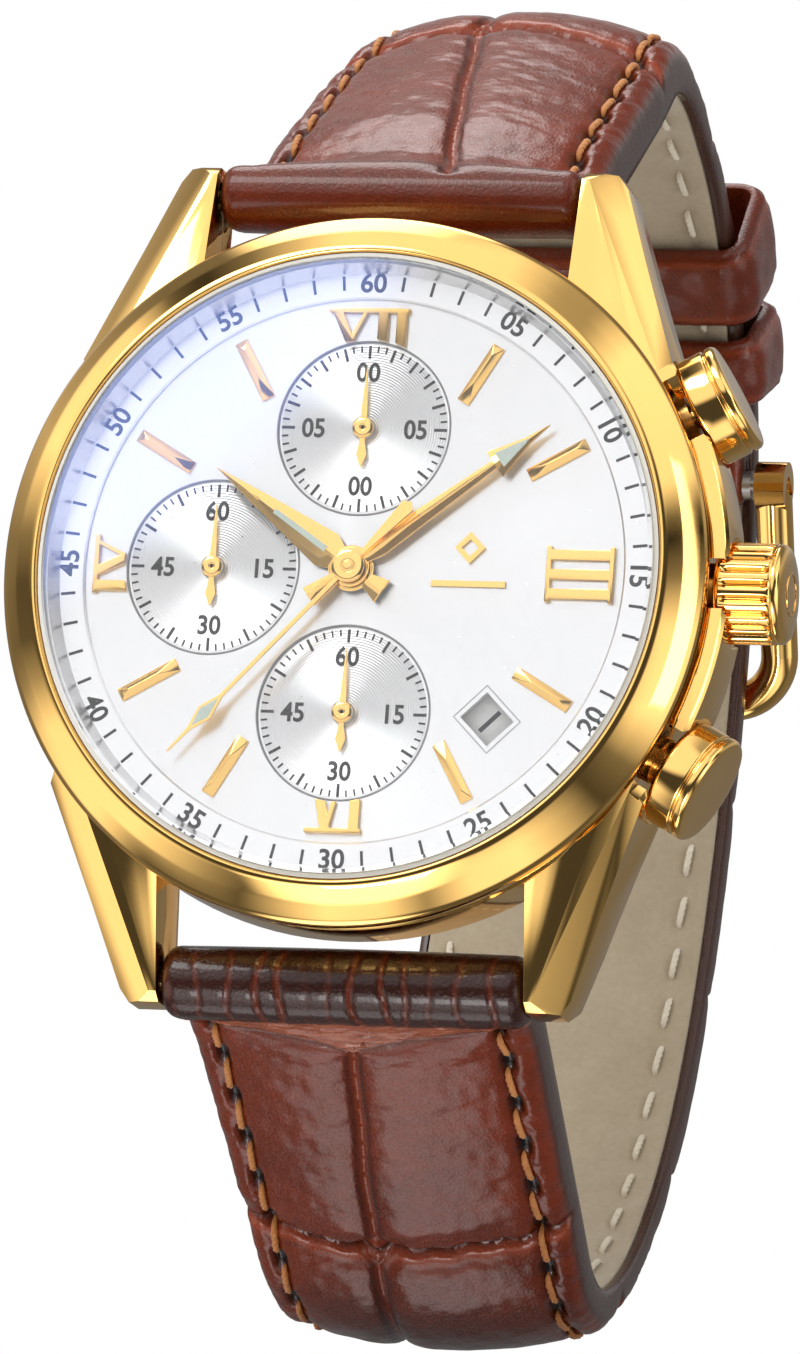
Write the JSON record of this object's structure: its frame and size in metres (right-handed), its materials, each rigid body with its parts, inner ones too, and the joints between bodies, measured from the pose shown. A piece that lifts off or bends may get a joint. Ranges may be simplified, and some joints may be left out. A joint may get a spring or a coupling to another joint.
{
  "type": "chronograph wristwatch",
  "caption": "Round analogue chronograph wristwatch with registers, crown, pushers and a padded leather strap buckled into a loop.",
  "frame": {"origin": "centre of the case back's outer face, on the axis of the hands", "axes": "+Z towards 12 o'clock, -Y out of the dial, +X towards the crown"},
  "size_m": [0.0461, 0.07, 0.0798],
  "materials": {
    "gold_polished": "polished yellow gold plating",
    "gold_satin": "satin yellow gold plating",
    "gold_applied": "diamond-cut gold plating",
    "crystal": "clear mineral glass with a blue anti-reflection coating",
    "gasket": "matt rubber",
    "clear_gasket": "translucent nylon",
    "steel": "fine brushed steel",
    "movement_brass": "matt gilt brass",
    "wheel_brass": "cut brass",
    "holder_plastic": "white moulded plastic",
    "board": "green lacquered board",
    "copper_wire": "enamelled copper winding",
    "battery_steel": "bright nickel-plated steel",
    "blued_steel": "blued steel",
    "dial_silver": "silver-white sunburst",
    "date_white": "matt white",
    "leather_brown": "glossy crocodile-embossed brown calf",
    "lining_suede": "beige nubuck"
  },
  "bodies": {
    "case": {"mid_case": "gold_polished", "bezel": "gold_polished", "crystal": "crystal", "crystal_gasket": "clear_gasket", "case_back": "gold_satin", "case_back_gasket": "gasket", "crown_tube": "gold_satin", "pusher_tubes": "gold_satin", "movement_holder": "holder_plastic", "main_plate": "movement_brass", "train_bridge": "steel", "calendar_plate": "movement_brass", "circuit_board": "board", "battery": "battery_steel", "battery_clip": "steel", "motor_coils": "copper_wire", "motor_stators": "steel", "quartz_can": "battery_steel", "movement_screws": "blued_steel", "dial": "dial_silver", "chapter_ring": "dial_silver", "hour_markers": "gold_applied", "roman_numerals": "gold_applied", "dial_emblem": "gold_applied", "spring_bars": "steel", "strap_upper": "leather_brown", "strap_upper_lining": "lining_suede", "strap_lower": "leather_brown", "strap_lower_lining": "lining_suede", "fixed_keeper": "leather_brown", "buckle_bar": "steel"},
    "hour_hand": {"hour_hand": "gold_applied", "hour_wheel": "wheel_brass"},
    "minute_hand": {"minute_hand": "gold_applied", "cannon_pinion": "steel"},
    "minute_wheel": {"minute_wheel": "wheel_brass"},
    "chrono_seconds": {"chrono_seconds_hand": "gold_applied", "chrono_wheel": "wheel_brass"},
    "register_12": {"register_hand_12": "gold_applied", "register_wheel_12": "wheel_brass"},
    "register_9": {"register_hand_9": "gold_applied", "register_wheel_9": "wheel_brass"},
    "register_6": {"register_hand_6": "gold_applied", "register_wheel_6": "wheel_brass"},
    "date_ring": {"date_ring": "date_white"},
    "sliding_pinion": {"sliding_pinion": "steel"},
    "crown": {"crown": "gold_polished", "crown_stem": "steel", "crown_seal": "gasket"},
    "pusher_upper": {"pusher_upper": "gold_polished", "pusher_spring_upper": "steel"},
    "pusher_lower": {"pusher_lower": "gold_polished", "pusher_spring_lower": "steel"},
    "free_keeper": {"free_keeper": "leather_brown"},
    "buckle_frame": {"buckle_frame": "gold_polished"},
    "buckle_tongue": {"buckle_tongue": "gold_polished"}
  },
  "joints": [
    {"name": "minute_hand_turn", "type": "hinge", "parent": "case", "child": "minute_hand", "pos_m": [0, 0, 0], "axis": [0, 1, 0], "continuous": true},
    {"name": "hour_hand_turn", "type": "hinge", "parent": "case", "child": "hour_hand", "pos_m": [0, 0, 0], "axis": [0, 1, 0], "continuous": true},
    {"name": "minute_wheel_turn", "type": "hinge", "parent": "case", "child": "minute_wheel", "pos_m": [0.00226, 0, -0.00226], "axis": [0, 1, 0], "continuous": true},
    {"name": "chrono_seconds_turn", "type": "hinge", "parent": "case", "child": "chrono_seconds", "pos_m": [0, 0, 0], "axis": [0, 1, 0], "continuous": true},
    {"name": "register_9_turn", "type": "hinge", "parent": "case", "child": "register_9", "pos_m": [-0.0084, 0, 0], "axis": [0, 1, 0], "continuous": true},
    {"name": "register_6_turn", "type": "hinge", "parent": "case", "child": "register_6", "pos_m": [0, 0, -0.0084], "axis": [0, 1, 0], "continuous": true},
    {"name": "register_12_turn", "type": "hinge", "parent": "case", "child": "register_12", "pos_m": [0, 0, 0.0084], "axis": [0, 1, 0], "continuous": true},
    {"name": "date_ring_turn", "type": "hinge", "parent": "case", "child": "date_ring", "pos_m": [0, 0, 0], "axis": [0, 1, 0], "continuous": true},
    {"name": "crown_turn", "type": "hinge", "parent": "case", "child": "sliding_pinion", "pos_m": [0, -0.0041, 0], "axis": [1, 0, 0], "continuous": true},
    {"name": "crown_pull", "type": "slide", "parent": "sliding_pinion", "child": "crown", "axis": [1, 0, 0], "range_m": [0, 0.001]},
    {"name": "pusher_upper_press", "type": "slide", "parent": "case", "child": "pusher_upper", "axis": [-0.8746, 0, -0.4848], "range_m": [0, 0.0008], "stiffness_N_per_m": 2000, "springref_m": -0.0004, "deforming": ["pusher_spring_upper"]},
    {"name": "pusher_lower_press", "type": "slide", "parent": "case", "child": "pusher_lower", "axis": [-0.8746, 0, 0.4848], "range_m": [0, 0.0008], "stiffness_N_per_m": 2000, "springref_m": -0.0004, "deforming": ["pusher_spring_lower"]},
    {"name": "free_keeper_slide", "type": "hinge", "parent": "case", "child": "free_keeper", "pos_m": [0, 0.02471, 0.01206], "axis": [1, 0, 0], "range_deg": [-1.4, 25]},
    {"name": "buckle_frame_swing", "type": "hinge", "parent": "case", "child": "buckle_frame", "pos_m": [0, 0.05053, 0.01802], "axis": [1, 0, 0], "range_deg": [0, 8]},
    {"name": "buckle_tongue_swing", "type": "hinge", "parent": "buckle_frame", "child": "buckle_tongue", "pos_m": [0, 0.05053, 0.01802], "axis": [1, 0, 0], "range_deg": [0, 10]}
  ],
  "couplings": [
    {"joint": "hour_hand_turn", "follows": "minute_hand_turn", "ratio": 0.083333},
    {"joint": "minute_wheel_turn", "follows": "minute_hand_turn", "ratio": -0.33333},
    {"joint": "register_9_turn", "follows": "chrono_seconds_turn", "ratio": 0.016667}
  ]
}
